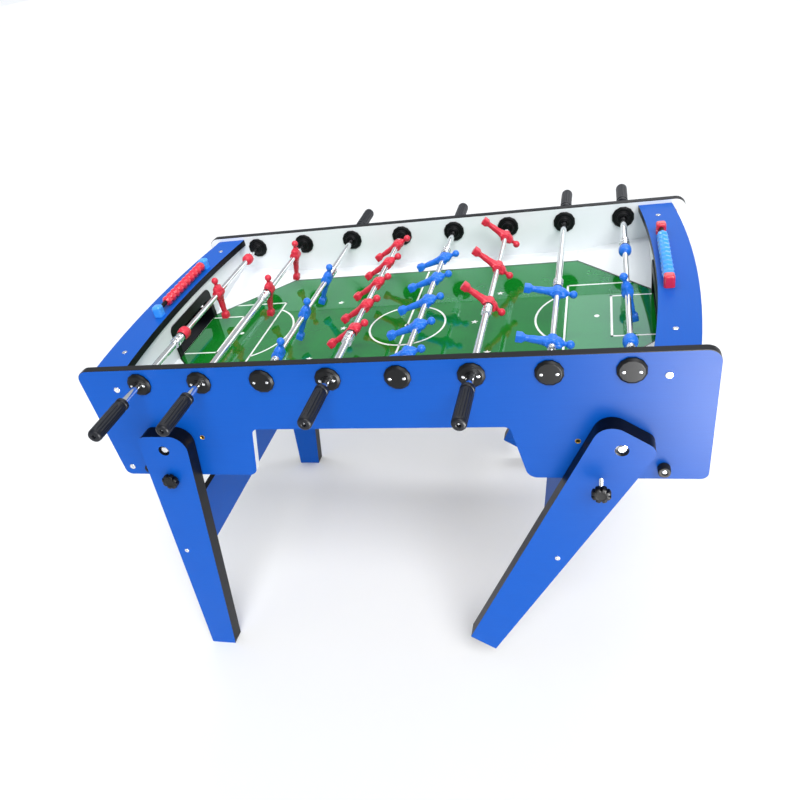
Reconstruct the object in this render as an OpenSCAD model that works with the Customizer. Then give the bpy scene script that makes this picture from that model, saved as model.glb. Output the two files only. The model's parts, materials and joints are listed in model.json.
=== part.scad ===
// Folding foosball table with eight telescopic rods.
// X runs along the table, Y across it from rod handles to rod handles, Z up.
// The origin is on the floor under the middle of the cabinet.
// The left legs stand on the floor; the right legs are part folded.

/* [Cabinet] */
// Length of a side panel along its top edge
panel_len = 1360; // [1300:10:1420]
// Width over both side panels
cabinet_w = 752; // [732:2:772]
// Thickness of the side panels and end walls
panel_t = 18; // [16:1:20]
// Top edge of the side panels above the rod axes
panel_top = 38; // [34:1:44]
// Bottom edge between the lobes, below the rod axes
panel_mid_drop = 130; // [124:1:136]
// Bottom of the lobes that carry the legs, below the rod axes
lobe_drop = 264; // [256:1:272]
// How much shorter the bottom edge is at each end
lobe_inset = 11; // [4:1:16]
// Half width of the cutout at its top
cutout_top = 288; // [280:1:296]
// Half width of the cutout at the bottom of the lobes
cutout_bottom = 316; // [308:1:322]
// Inner face of each end wall from the middle
wall_x = 588; // [584:1:592]

/* [End boards] */
// Inner edge of the end board at its middle
board_inner = 586; // [580:1:590]
// Width of the end board
board_w = 82; // [76:1:84]
// How far both edges of the end board bow outwards
board_bow = 23; // [15:1:26]
// Thickness of the end board
board_t = 18; // [16:1:20]
// End board's top face above the rod axes
board_top = 28; // [24:1:32]

/* [Playfield] */
// Playing surface below the rod axes
field_drop = 92; // [90:1:96]
// Thickness of the playfield board
field_t = 12; // [10:1:16]
// Half width of the flat green area
field_half_w = 308; // [300:1:316]
// Where the corner ramps start, from the middle
field_corner_x = 407; // [395:1:420]
// Half width of the field at its ends, beside the goals
field_end_half_w = 118; // [116:1:124]
// Height of the ramps at the side walls
ramp_rise = 8; // [6:1:10]
// Height of the ramps' front lip
ramp_lip = 1.5; // [1:0.5:2]

/* [Goals] */
// Outer width of the goal frame
goal_w = 230; // [220:2:232]
// Height of the goal frame
goal_h = 86; // [82:1:88]
// Width of the goal mouth
mouth_w = 196; // [180:2:200]
// Height of the goal mouth
mouth_h = 60; // [54:1:62]
// Depth of the ball box behind the end wall
ball_box = 60; // [50:1:64]

/* [Rods] */
// Distance from rod to rod
rod_pitch = 150; // [148:1:152]
// Diameter of the handle end of the tube
tube_d = 16; // [15:0.5:16]
// Diameter of the part of the tube that carries the men
thin_d = 13; // [12.5:0.5:13.5]
// Diameter of the guide pin that the tube slides on
pin_d = 8; // [7:0.5:8.5]
// Length of a grip
grip_l = 120; // [110:2:124]
// Diameter of a grip
grip_d = 30; // [27:1:32]
// Diameter over the flats of a bearing flange
flange_d = 55; // [50:1:56]

/* [Men] */
// Sole of the foot below the rod axis
foot_drop = 74; // [70:1:74]
// Middle of the head above the rod axis
head_rise = 36; // [34:1:38]
// Diameter of the head
head_d = 19; // [17:1:20]

/* [Legs] */
// Pivot bolt to the middle of the foot
leg_l = 703; // [690:1:716]
// Leg width at the top
leg_top_w = 125; // [118:1:128]
// Leg width at the foot
leg_foot_w = 71; // [66:1:76]
// Leg thickness
leg_t = 38; // [34:1:40]
// Leg above the pivot bolt
leg_head = 41; // [38:1:44]
// Outward lean of a leg that is set up
splay = 6.5; // [6:0.5:7]
// Pivot bolts from the middle
pivot_x = 505; // [500:1:510]
// Pivot bolts below the rod axes
pivot_drop = 159.5; // [156:0.5:163]
// Inward lean at which the right legs are stored
right_fold = 28.7; // [10:0.1:60]
// Pivot bolt to locking knob
knob_reach = 84; // [80:1:88]
// How far the right knobs are unscrewed
knob_out = 33; // [5:1:34]

/* [Hidden] */
$fn = 64;

// Heights
pivot_z = leg_l * cos(splay);
rod_z = pivot_z + pivot_drop;
field_z = rod_z - field_drop;
inner_half = cabinet_w / 2 - panel_t;
outer_half = cabinet_w / 2;
slip = 0.2;
hole_gap = 0.1;

// Rods 1 to 8 from left to right
MEN = [1, 2, 3, 5, 5, 3, 2, 1];
HANDLE_SIDE = [-1, -1, 1, -1, 1, -1, 1, 1];
SHIFT = [63, 168, -84, 57, -55, 104, -157, -63];
TURN = [-1, -12, -24, -61, -72, -133, -103, 12];
GRIP_GAP = [136, 225, 150, 96, 96, 150, 225, 136];
red = [0.78, 0.16, 0.25];
blue = [0.16, 0.42, 0.85];
panel_blue = [0.1, 0.4, 0.85];
black = [0.09, 0.09, 0.11];

// Bearings
flange_t = 8;
inner_flange_t = 6;
boss_t = 14;
boss_d = 30;
sleeve_d = 27;
panel_hole_d = 28;
bearing_bore_gap = 0.5;
bearing_screw_x = 15;

// Rods
stop_reach = 45;
ring_d = 24;
ring_w = 20;
ring_lip = 8;
ferrule_l = 14;
ferrule_d = 17;
tube_overrun = 30;
tube_bore_d = 8.6;
tube_end = 5;
pin_overlap = 40;
pin_seat = 22;
grip_bore = 108;
grip_collar = 10;
grip_groove = 6;
grip_neck_d = grip_d - 5;

// Men
hub_d = 26;
hub_l = 30;
chest_x = 22;
hip_d = 20;
ankle_d = 13;
boot_x = 20;
boot_y = 22;
boot_h = 20;
neck_d = 10;
pad_d = 30;
pad_l = 30;
pad_edge = 5;
OUTER_MAN = [212, 108, 187, 234, 234, 187, 108, 212];

// Leg hardware
leg_gap = 2;
pivot_d = 10;
pivot_head_d = 20;
pivot_head_h = 6;
counterbore_d = 27;
counterbore_h = 9;
washer_d = 28;
washer_t = 1.6;
nut_d = 15;
nut_h = 8;
lock_d = 8;
lock_l = 37;
lock_cover = 5;
insert_d = 12;
insert_l = 13;
knob_d = 40;
knob_h = 18;
left_lock_up = 5.5;
right_lock_down = 5;
cross_w = 156;
cross_t = 15;
cross_mid = 332;
cross_out = 24;
cross_screw_d = 5;
cross_screw_l = 60;
cross_head_d = 12;
cross_head_t = 2;
leg_taper = atan((leg_top_w - leg_foot_w) / 2 / (leg_l + leg_head));
leg_inner_y = outer_half + leg_gap;
leg_outer_y = leg_inner_y + leg_t;

// Rubber stops that the set up legs lean on
stop_d = 25;
stop_h = 20;
stop_hole_d = 12;
stop_hole_h = 4;
stop_along = 82;
stop_gap = 0.6;
stop_leg_half = leg_top_w / 2 - (leg_head + stop_along) * tan(leg_taper);
stop_away = stop_leg_half / cos(leg_taper) + stop_d / 2 + stop_gap;
stop_x = pivot_x + stop_along * sin(splay) + stop_away * cos(splay);
stop_z = pivot_z - stop_along * cos(splay) + stop_away * sin(splay);

// Edge bands and screws of the cabinet
band_t = 1.5;
head_t = 2;
wall_screw_d = 15;
bearing_head_d = 7;
board_head_d = 12;
stop_head_d = 10;
WALL_SCREWS = [[-590, 14], [590, 14], [-645, 240]];
board_screw_y = 281;

// Goals
goal_wall = 3;
goal_plate_t = 4;
box_lip = 34;
mouth_corner = 18;

// Score counters
counter_x = 607;
counter_y = 35;
counter_half = 137;
counter_rise = 14.5;
bead_d = 26;
bead_w = 21;
bead_pitch = 22;
bead_rod_d = 11;
bead_count = 10;
bead_bore_gap = 0.8;
block_w = 23;
block_l = 24;
block_h = 27;

// Points of a closed outline whose corners [x, y, radius] are rounded
function unit(v) = v / norm(v);
function turn_to(from, to) = let (t = to - from) t > 180 ? t - 360 : t < -180 ? t + 360 : t;
function corner(a, b, c, r) =
    let (u = unit(a - b), w = unit(c - b), half = acos(u * w) / 2, reach = r / tan(half))
    let (mid = b + unit(u + w) * r / sin(half), p = b + u * reach - mid, q = b + w * reach - mid)
    let (start = atan2(p[1], p[0]), sweep = turn_to(start, atan2(q[1], q[0])), steps = 8)
    [for (i = [0:steps]) mid + r * [cos(start + sweep * i / steps), sin(start + sweep * i / steps)]];
function xy(p) = [p[0], p[1]];
function rounded(points) = let (n = len(points)) [for (i = [0:n - 1])
    each (points[i][2] == 0 ? [xy(points[i])]
        : corner(xy(points[(i + n - 1) % n]), xy(points[i]), xy(points[(i + 1) % n]), points[i][2]))];

// An outline in X and Z, made into a plate between two Y values
module plate(y0, y1) {
    translate([0, y1, 0]) rotate([90, 0, 0]) linear_extrude(y1 - y0) children();
}
// A round bar along Y between two Y values
module bar(d, y0, y1) {
    translate([0, y0, 0]) rotate([-90, 0, 0]) cylinder(d = d, h = y1 - y0);
}
// Copies on both sides of the middle
module both_y() {
    children();
    mirror([0, 1, 0]) children();
}
module both_x() {
    children();
    mirror([1, 0, 0]) children();
}

// Side panels
module panel_outline() {
    half = panel_len / 2;
    low = half - lobe_inset;
    polygon(rounded([
        [-half, panel_top, 26], [half, panel_top, 26],
        [low, -lobe_drop, 16], [cutout_bottom, -lobe_drop, 24],
        [cutout_top, -panel_mid_drop, 15], [-cutout_top, -panel_mid_drop, 15],
        [-cutout_bottom, -lobe_drop, 24], [-low, -lobe_drop, 16]]));
}
module band_outline() {
    difference() {
        panel_outline();
        translate([0, -band_t]) panel_outline();
        translate([-panel_len, -2 * lobe_drop]) square([2 * panel_len, 2 * lobe_drop]);
    }
}
function on_leg(side, angle, reach) =
    [side * (pivot_x + reach * sin(angle)), 0, pivot_z - reach * cos(angle)];
module lock_places() {
    for (a = [splay, -90 - left_lock_up]) translate(on_leg(-1, a, knob_reach)) children();
    for (a = [splay, -90 + right_lock_down]) translate(on_leg(1, a, knob_reach)) children();
}
module side_panel() {
    difference() {
        translate([0, 0, rod_z]) plate(-outer_half, -inner_half) difference() {
            panel_outline();
            band_outline();
        }
        for (k = [1:8]) translate([rod_x(k), 0, rod_z]) bar(panel_hole_d, -outer_half - 1, -inner_half + 1);
        for (s = [-1, 1]) translate([s * pivot_x, 0, pivot_z])
            bar(pivot_d + 2 * hole_gap, -outer_half - 1, -inner_half + 1);
        lock_places() bar(insert_d + 2 * hole_gap, -outer_half - 1, -outer_half + insert_l);
    }
}
function rod_x(k) = (k - 4.5) * rod_pitch;
module near_panel() { color(panel_blue) side_panel(); }
module far_panel() { color(panel_blue) mirror([0, 1, 0]) side_panel(); }
module panel_edge_bands() {
    color(black) both_y() translate([0, 0, rod_z]) plate(-outer_half, -inner_half) band_outline();
}

// Ends of the cabinet
module goal_mouth_outline(w, h, grow) {
    polygon(rounded([[-w / 2 - grow, 0, 0], [w / 2 + grow, 0, 0],
        [w / 2 + grow, h + grow, mouth_corner], [-w / 2 - grow, h + grow, mouth_corner]]));
}
// An outline in Y and height above the field, made into a plate between two X values
module across(x0, x1) {
    translate([x0, 0, field_z]) rotate([90, 0, 90]) linear_extrude(x1 - x0) children();
}
module end_walls() {
    low = -panel_mid_drop + field_drop;
    high = board_top - board_t + field_drop;
    color("white") both_x() across(wall_x, wall_x + panel_t) difference() {
        translate([-inner_half + slip, low]) square([2 * (inner_half - slip), high - low]);
        goal_mouth_outline(mouth_w, mouth_h, goal_wall + slip);
    }
}
module board_outline() {
    half = inner_half - slip;
    r = (half * half + board_bow * board_bow) / 2 / board_bow;
    intersection() {
        difference() {
            translate([board_inner + board_w - r, 0]) circle(r, $fn = 400);
            translate([board_inner - r, 0]) circle(r, $fn = 400);
        }
        translate([board_inner - board_w, -half]) square([3 * board_w, 2 * half]);
    }
}
module end_boards() {
    color(panel_blue) both_x() translate([0, 0, rod_z + board_top - board_t])
        linear_extrude(board_t) board_outline();
}

// Playing surface and its ramps
module playfield() {
    color("green") translate([-wall_x + slip, -inner_half + slip, field_z - field_t])
        cube([2 * (wall_x - slip), 2 * (inner_half - slip), field_t]);
}
module side_ramp() {
    wall_y = inner_half - slip;
    translate([-field_corner_x, 0, field_z]) rotate([90, 0, 90]) linear_extrude(2 * field_corner_x)
        polygon([[-field_half_w, 0], [-wall_y, 0], [-wall_y, ramp_rise], [-field_half_w, ramp_lip]]);
}
module corner_ramp() {
    x0 = field_corner_x + slip;
    x1 = wall_x - slip;
    y1 = inner_half - slip;
    cut_turn = atan2(field_half_w - field_end_half_w, x1 - field_corner_x);
    d_corner = (y1 - field_half_w) * cos(cut_turn);
    slope = atan((ramp_rise - ramp_lip) / d_corner);
    blank_h = 60;
    difference() {
        translate([0, 0, field_z]) linear_extrude(blank_h) polygon([
            [x0, field_half_w], [x1, field_end_half_w], [x1, y1], [x0, y1]]);
        translate([field_corner_x, field_half_w, field_z + ramp_lip])
            rotate([0, 0, -cut_turn]) rotate([slope, 0, 0])
            translate([-wall_x, -inner_half, 0]) cube([2 * wall_x, 2 * inner_half, 2 * blank_h]);
    }
}
module ball_ramps() {
    color("white") {
        both_y() side_ramp();
        both_x() both_y() corner_ramp();
    }
}
module support_battens() {
    batten = 20;
    cleat_l = 50;
    under_field = field_z - field_t - batten;
    under_board = rod_z + board_top - board_t - batten;
    color("tan") {
        both_y() translate([-wall_x + slip, -inner_half + slip, under_field])
            cube([2 * (wall_x - slip), batten, batten]);
        both_x() both_y() translate([wall_x + panel_t + slip, -inner_half + slip, under_board])
            cube([cleat_l, batten, batten]);
        both_x() translate([rod_pitch, -inner_half + batten + 2 * slip, under_field])
            cube([batten, 2 * (inner_half - batten - 2 * slip), batten]);
    }
}

// Goals with a ball box behind the end wall
module goal_shell_outline() {
    difference() {
        goal_mouth_outline(mouth_w, mouth_h, goal_wall);
        translate([0, goal_wall]) goal_mouth_outline(mouth_w, mouth_h - goal_wall, 0);
    }
}
module below_lip() {
    translate([-goal_w, 0]) square([2 * goal_w, box_lip]);
}
module goal() {
    tray = wall_x + panel_t + 2;
    back = wall_x + panel_t + ball_box;
    across(wall_x - goal_plate_t, wall_x - slip) difference() {
        goal_mouth_outline(goal_w, goal_h, 0);
        translate([0, -1]) goal_mouth_outline(mouth_w, mouth_h + 1, 0);
    }
    across(wall_x - slip, tray) goal_shell_outline();
    across(tray - slip, back) intersection() {
        goal_shell_outline();
        below_lip();
    }
    across(back - goal_wall, back) intersection() {
        goal_mouth_outline(mouth_w, mouth_h, goal_wall);
        below_lip();
    }
}
module goals() { color(black) both_x() goal(); }

// Bearings; the handle side of a rod is at negative Y before it is mirrored
module flange(y0, y1) {
    translate([0, y0, 0]) rotate([-90, 15, 0]) cylinder(d = flange_d, h = y1 - y0, $fn = 12);
}
module bearing_body() {
    flange(-outer_half - flange_t, -outer_half);
    bar(sleeve_d, -outer_half, -inner_half);
    flange(-inner_half, -inner_half + inner_flange_t);
    bar(boss_d, -inner_half + inner_flange_t, -inner_half + boss_t);
}
module at_rod(k, side) {
    translate([rod_x(k), 0, rod_z]) mirror([0, side > 0 ? 1 : 0, 0]) children();
}
module open_bearings() {
    color(black) for (k = [1:8]) at_rod(k, HANDLE_SIDE[k - 1]) difference() {
        bearing_body();
        bar(tube_d + bearing_bore_gap, -outer_half - flange_t - 1, -inner_half + boss_t + 1);
    }
}
module blind_bearings() {
    color(black) for (k = [1:8]) at_rod(k, -HANDLE_SIDE[k - 1]) difference() {
        bearing_body();
        bar(pin_d + hole_gap, -inner_half - pin_seat + boss_t, -inner_half + boss_t + 1);
    }
}

// Rods: the tube slides on the guide pin, and both turn in the bearings
function spread(k) = OUTER_MAN[k - 1];
function pull_limit(k) = inner_half - boss_t - spread(k) - stop_reach - ring_w / 2;
function push_limit(k) = inner_half - boss_t - spread(k) - tube_overrun;
module on_rod(k) {
    side = HANDLE_SIDE[k - 1];
    translate([rod_x(k), 0, rod_z]) rotate([0, -TURN[k - 1], 0])
        translate([0, SHIFT[k - 1], 0]) mirror([0, side > 0 ? 1 : 0, 0]) children();
}
module guide_pin(k) {
    side = HANDLE_SIDE[k - 1];
    seat = inner_half + pin_seat - boss_t - 1;
    tip = spread(k) + tube_overrun - pull_limit(k) - pin_overlap;
    color("silver") translate([rod_x(k), 0, rod_z]) mirror([0, side > 0 ? 1 : 0, 0]) bar(pin_d, tip, seat);
}
module rod(k) {
    end_y = spread(k) + tube_overrun;
    stop_y = -spread(k) - stop_reach;
    handle_y = -outer_half - GRIP_GAP[k - 1] - grip_bore + 1;
    color("silver") on_rod(k) difference() {
        union() {
            bar(tube_d, handle_y, stop_y);
            bar(thin_d, stop_y - 1, end_y);
            for (y = [stop_y - ring_w / 2, stop_y + ring_w / 2 - ring_lip]) bar(ring_d, y, y + ring_lip);
            bar(ring_d - 4, stop_y - ring_w / 2 + 1, stop_y + ring_w / 2 - 1);
            bar(ferrule_d, end_y - ferrule_l, end_y);
        }
        bar(tube_bore_d, handle_y + tube_end, end_y + 1);
    }
}
module man() {
    shoulder = hub_l / 2 + 1;
    rotate([90, 0, 90]) translate([0, 0, -chest_x / 2]) linear_extrude(chest_x) polygon([
        [-hip_d / 2, 24], [hip_d / 2, 24], [shoulder, 14], [shoulder - 2, -12],
        [hip_d / 2 - 2, -20], [2 - hip_d / 2, -20], [2 - shoulder, -12], [-shoulder, 14]]);
    translate([0, 0, boot_h / 2 - foot_drop]) cylinder(d1 = ankle_d, d2 = hip_d, h = foot_drop - boot_h);
    translate([-boot_x / 2, -boot_y / 2, -foot_drop]) cube([boot_x, boot_y, boot_h]);
    translate([0, 0, head_rise - head_d / 2 - neck_d / 2]) cylinder(d = neck_d, h = neck_d);
    translate([0, 0, head_rise]) sphere(d = head_d);
    bar(hub_d, -hub_l / 2, hub_l / 2);
}
module men(k) {
    n = MEN[k - 1];
    pitch = n == 1 ? 0 : 2 * spread(k) / (n - 1);
    color(HANDLE_SIDE[k - 1] < 0 ? red : blue) on_rod(k) difference() {
        union() {
            for (i = [0:n - 1]) translate([0, (i - (n - 1) / 2) * pitch, 0]) man();
            if (n == 1) for (s = [-1, 1]) translate([0, s * spread(k), 0]) goalie_pad();
        }
        bar(thin_d + hole_gap, -spread(k) - pad_l, spread(k) + pad_l);
    }
}
module goalie_pad() {
    r = pad_d / 2;
    half = pad_l / 2;
    rotate([90, 0, 0]) rotate_extrude() polygon(rounded([
        [0, -half, 0], [r, -half, pad_edge], [r, half, pad_edge], [0, half, 0]]));
}
module grip(k) {
    y0 = -outer_half - GRIP_GAP[k - 1];
    y1 = y0 - grip_collar;
    y2 = y1 - grip_groove;
    color(black) on_rod(k) difference() {
        union() {
            bar(grip_d, y1, y0);
            bar(grip_neck_d, y2, y1);
            bar(grip_d, y0 - grip_l, y2);
        }
        bar(tube_d + hole_gap, y0 - grip_bore, y0 + 1);
    }
}

// Legs: one local frame with the pivot at its origin, the leg down and its outer edge at +X
module leg_outline() {
    tilt = tan(splay);
    polygon(rounded([
        [leg_top_w / 2, leg_head - leg_top_w / 2 * tilt, 25],
        [leg_foot_w / 2, -leg_l - leg_foot_w / 2 * tilt, 2],
        [-leg_foot_w / 2, -leg_l + leg_foot_w / 2 * tilt, 2],
        [-leg_top_w / 2, leg_head + leg_top_w / 2 * tilt, 38]]));
}
module at_board() {
    translate([cross_out, 0, -cross_mid]) rotate([0, leg_taper, 0]) children();
}
module leg() {
    difference() {
        plate(-leg_outer_y, -leg_inner_y) leg_outline();
        bar(pivot_d + hole_gap, -leg_outer_y - 1, -leg_inner_y + 1);
        bar(counterbore_d, -leg_outer_y - 1, -leg_outer_y + counterbore_h);
        translate([0, 0, -knob_reach]) bar(lock_d + 2 * hole_gap, -leg_outer_y - 1, -leg_inner_y + 1);
        at_board() bar(cross_screw_d + 2 * hole_gap, -leg_outer_y - 1, -leg_inner_y + 1);
    }
}
module cross_board() {
    color(panel_blue) at_board() difference() {
        translate([-cross_t / 2, -leg_inner_y, -cross_w / 2]) cube([cross_t, 2 * leg_inner_y, cross_w]);
        both_y() bar(cross_screw_d + 2 * hole_gap, -leg_inner_y - 1, -leg_outer_y + cross_screw_l + 1);
    }
}
module board_screws() {
    color("silver") at_board() both_y() {
        bar(cross_head_d, -leg_outer_y - cross_head_t, -leg_outer_y);
        bar(cross_screw_d, -leg_outer_y, -leg_outer_y + cross_screw_l);
    }
}
module left_leg_frame() {
    translate([-pivot_x, 0, pivot_z]) mirror([1, 0, 0]) rotate([0, -splay, 0]) children();
}
module right_leg_frame() {
    translate([pivot_x, 0, pivot_z]) rotate([0, right_fold, 0]) children();
}
module left_legs() { color(panel_blue) left_leg_frame() both_y() leg(); }
module right_legs() { color(panel_blue) right_leg_frame() both_y() leg(); }
module left_cross_board() { left_leg_frame() cross_board(); }
module right_cross_board() { right_leg_frame() cross_board(); }
module left_board_screws() { left_leg_frame() board_screws(); }
module right_board_screws() { right_leg_frame() board_screws(); }

// Star knob with its locking screw, unscrewed by a given length
module knob(out) {
    face = -leg_outer_y - out;
    lobes = 8;
    lobe_d = 10;
    hub_t = 4;
    top = face - knob_h;
    translate([0, 0, -knob_reach]) {
        color(black) difference() {
            union() {
                bar(knob_d * 0.8, top, face - hub_t);
                bar(knob_d * 0.5, face - hub_t - 1, face - 0.5);
                for (i = [0:lobes - 1]) rotate([0, i * 360 / lobes, 0])
                    translate([(knob_d - lobe_d) / 2, 0, 0]) bar(lobe_d, top, face - hub_t);
            }
            bar(lock_d, top + lock_cover, face);
        }
        color("silver") bar(lock_d, top + lock_cover, face + lock_l);
    }
}
module knob_left_near() { left_leg_frame() knob(0); }
module knob_left_far() { left_leg_frame() mirror([0, 1, 0]) knob(0); }
module knob_right_near() { right_leg_frame() knob(knob_out); }
module knob_right_far() { right_leg_frame() mirror([0, 1, 0]) knob(knob_out); }

// Fixed hardware of the legs
module pivot_bolts() {
    color("silver") both_x() both_y() translate([pivot_x, 0, pivot_z]) {
        head_y = -leg_outer_y + counterbore_h - 0.5;
        bar(pivot_head_d, head_y - pivot_head_h, head_y);
        bar(pivot_d, head_y - 1, -inner_half + nut_h + 3);
        difference() {
            bar(washer_d, -outer_half - washer_t, -outer_half);
            bar(pivot_d + 2 * hole_gap, -outer_half - washer_t - 1, -outer_half + 1);
        }
        difference() {
            translate([0, -inner_half, 0]) rotate([-90, 0, 0])
                cylinder(d = nut_d / cos(30), h = nut_h, $fn = 6);
            bar(pivot_d + 2 * hole_gap, -inner_half - 1, -inner_half + nut_h + 1);
        }
    }
}
module lock_inserts() {
    color("gold") both_y() lock_places() difference() {
        bar(insert_d, -outer_half - 0.3, -outer_half + insert_l - 0.5);
        bar(lock_d, -outer_half - 1, -outer_half + insert_l);
    }
}
module leg_stops() {
    color(black) both_x() both_y() translate([stop_x, 0, stop_z]) difference() {
        bar(stop_d, -outer_half - stop_h, -outer_half);
        bar(stop_hole_d, -outer_half - stop_h - 1, -outer_half - stop_h + stop_hole_h);
    }
}

// Screw heads on the panels, boards, bearings and stops
module cabinet_screws() {
    flange_y = -outer_half - flange_t;
    stop_y = -outer_half - stop_h + stop_hole_h;
    color("silver") {
        both_y() for (p = WALL_SCREWS) translate([p[0], 0, rod_z - p[1]])
            bar(wall_screw_d, -outer_half - head_t, -outer_half);
        both_y() for (k = [1:8], s = [-1, 1]) translate([rod_x(k) + s * bearing_screw_x, 0, rod_z])
            bar(bearing_head_d, flange_y - head_t, flange_y);
        both_x() both_y() translate([counter_x, board_screw_y, rod_z + board_top])
            cylinder(d = board_head_d, h = head_t);
        both_x() both_y() translate([stop_x, 0, stop_z]) bar(stop_head_d, stop_y - head_t, stop_y);
    }
}

// Score counters on the end boards
module counter_blocks() {
    for (s = [-1, 1])
        translate([counter_x - block_w / 2, counter_y + s * counter_half - block_l / 2, rod_z + board_top])
        cube([block_w, block_l, block_h]);
}
module counter_stands() {
    low_end = counter_y - counter_half;
    high_end = counter_y + counter_half;
    color(black) both_x() {
        difference() {
            counter_blocks();
            translate([counter_x, 0, rod_z + board_top + counter_rise])
                bar(bead_rod_d + 2 * hole_gap, low_end - block_l, high_end + block_l);
        }
        translate([counter_x, 0, rod_z + board_top + counter_rise])
            bar(bead_rod_d, low_end - block_l / 4, high_end + block_l / 4);
    }
}
module beads(first_y) {
    bead_z = rod_z + board_top + counter_rise;
    for (i = [0:bead_count - 1]) translate([0, first_y + i * bead_pitch, bead_z]) difference() {
        bar(bead_d, 0, bead_w);
        bar(bead_rod_d + bead_bore_gap, -1, bead_w + 1);
    }
}
module red_counter_beads() {
    color(red) translate([-counter_x, 0, 0])
        beads(counter_y + counter_half - block_l / 2 - bead_count * bead_pitch);
}
module blue_counter_beads() {
    color(blue) translate([counter_x, 0, 0]) beads(counter_y - counter_half + block_l / 2 + 1);
}

near_panel();
far_panel();
panel_edge_bands();
end_walls();
end_boards();
playfield();
ball_ramps();
support_battens();
goals();
open_bearings();
blind_bearings();
cabinet_screws();
lock_inserts();
leg_stops();
pivot_bolts();
counter_stands();
left_legs();
left_cross_board();
left_board_screws();
right_legs();
right_cross_board();
right_board_screws();
knob_left_near();
knob_left_far();
knob_right_near();
knob_right_far();
red_counter_beads();
blue_counter_beads();
for (k = [1:8]) guide_pin(k);
for (k = [1:8]) rod(k);
for (k = [1:8]) men(k);
for (k = [1:8]) grip(k);
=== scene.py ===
import json
import math

import bmesh
import bpy
from mathutils import Matrix, Vector


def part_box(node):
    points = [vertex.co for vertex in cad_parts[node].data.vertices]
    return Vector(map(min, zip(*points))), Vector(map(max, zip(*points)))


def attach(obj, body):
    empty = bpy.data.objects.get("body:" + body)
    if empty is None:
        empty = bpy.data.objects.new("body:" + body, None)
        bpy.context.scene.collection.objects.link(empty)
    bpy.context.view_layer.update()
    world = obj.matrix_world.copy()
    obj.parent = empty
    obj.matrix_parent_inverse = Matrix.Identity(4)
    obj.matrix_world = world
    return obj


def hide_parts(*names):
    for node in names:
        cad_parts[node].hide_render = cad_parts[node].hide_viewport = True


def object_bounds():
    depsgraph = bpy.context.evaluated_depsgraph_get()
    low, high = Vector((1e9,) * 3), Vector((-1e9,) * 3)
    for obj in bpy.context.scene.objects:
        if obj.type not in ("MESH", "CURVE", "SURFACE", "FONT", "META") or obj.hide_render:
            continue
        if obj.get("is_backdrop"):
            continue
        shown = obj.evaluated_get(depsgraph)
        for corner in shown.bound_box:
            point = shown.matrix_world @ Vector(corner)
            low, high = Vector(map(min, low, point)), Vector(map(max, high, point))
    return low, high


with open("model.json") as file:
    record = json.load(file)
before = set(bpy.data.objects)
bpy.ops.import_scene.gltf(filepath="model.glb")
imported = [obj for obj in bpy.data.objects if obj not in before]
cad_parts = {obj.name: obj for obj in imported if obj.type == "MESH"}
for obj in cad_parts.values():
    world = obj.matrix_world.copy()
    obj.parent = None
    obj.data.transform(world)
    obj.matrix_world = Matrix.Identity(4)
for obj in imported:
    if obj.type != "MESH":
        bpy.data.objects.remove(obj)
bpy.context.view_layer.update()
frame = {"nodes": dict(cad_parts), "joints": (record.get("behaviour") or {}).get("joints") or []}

# Camera, at a standing player's eye height, a little to the right of the table's middle.
# It looks down across the table and leans a little to one side.
scene = bpy.context.scene
scene.view_settings.view_transform = "Standard"
eye = Vector((0.4886, -1.5865, 1.646))
aim = Vector((0.0416, -0.3279, 0.766))
lean = math.radians(-12.2)
camera_data = bpy.data.cameras.new("camera")
camera_data.lens = 33.6
camera_data.shift_x = 0.0065
camera_data.shift_y = 0.0006
camera_data.clip_end = 200
camera = bpy.data.objects.new("camera", camera_data)
scene.collection.objects.link(camera)
gaze = (aim - eye).to_track_quat("-Z", "Y").to_matrix().to_4x4()
camera.matrix_world = Matrix.Translation(eye) @ gaze @ Matrix.Rotation(lean, 4, "Z")
scene.camera = camera


# Studio: a plain pale floor that runs out of sight, a bright even surround and a wide soft sun overhead.
# Three lights that show only in gloss put a sheen on the right of the near side and on the pitch.
def rgb(code):
    """An sRGB hex colour as linear red, green, blue and alpha."""
    parts = [int(code[i:i + 2], 16) / 255 for i in (1, 3, 5)]
    return [p / 12.92 if p <= 0.04045 else ((p + 0.055) / 1.055) ** 2.4 for p in parts] + [1.0]


def add(tree, kind, settings, links):
    """Adds a node; settings go to its inputs or, where it has no such input, to the node itself."""
    node = tree.nodes.new(kind)
    for name, value in settings.items():
        if isinstance(name, int) or name in node.inputs:
            node.inputs[name].default_value = value
        else:
            setattr(node, name, value)
    for name, source in links.items():
        tree.links.new(source, node.inputs[name])
    return node


def new_finish(name, colour, **sockets):
    """An empty material with one Principled shader; returns the material, its tree and the shader."""
    material = bpy.data.materials.new(name)
    material.use_nodes = True
    material.diffuse_color = rgb(colour)
    tree = material.node_tree
    tree.nodes.clear()
    settings = {"Base Color": rgb(colour)}
    settings.update({key.replace("_", " "): value for key, value in sockets.items()})
    shader = add(tree, "ShaderNodeBsdfPrincipled", settings, {})
    add(tree, "ShaderNodeOutputMaterial", {}, {"Surface": shader.outputs["BSDF"]})
    return material, tree, shader


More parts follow.
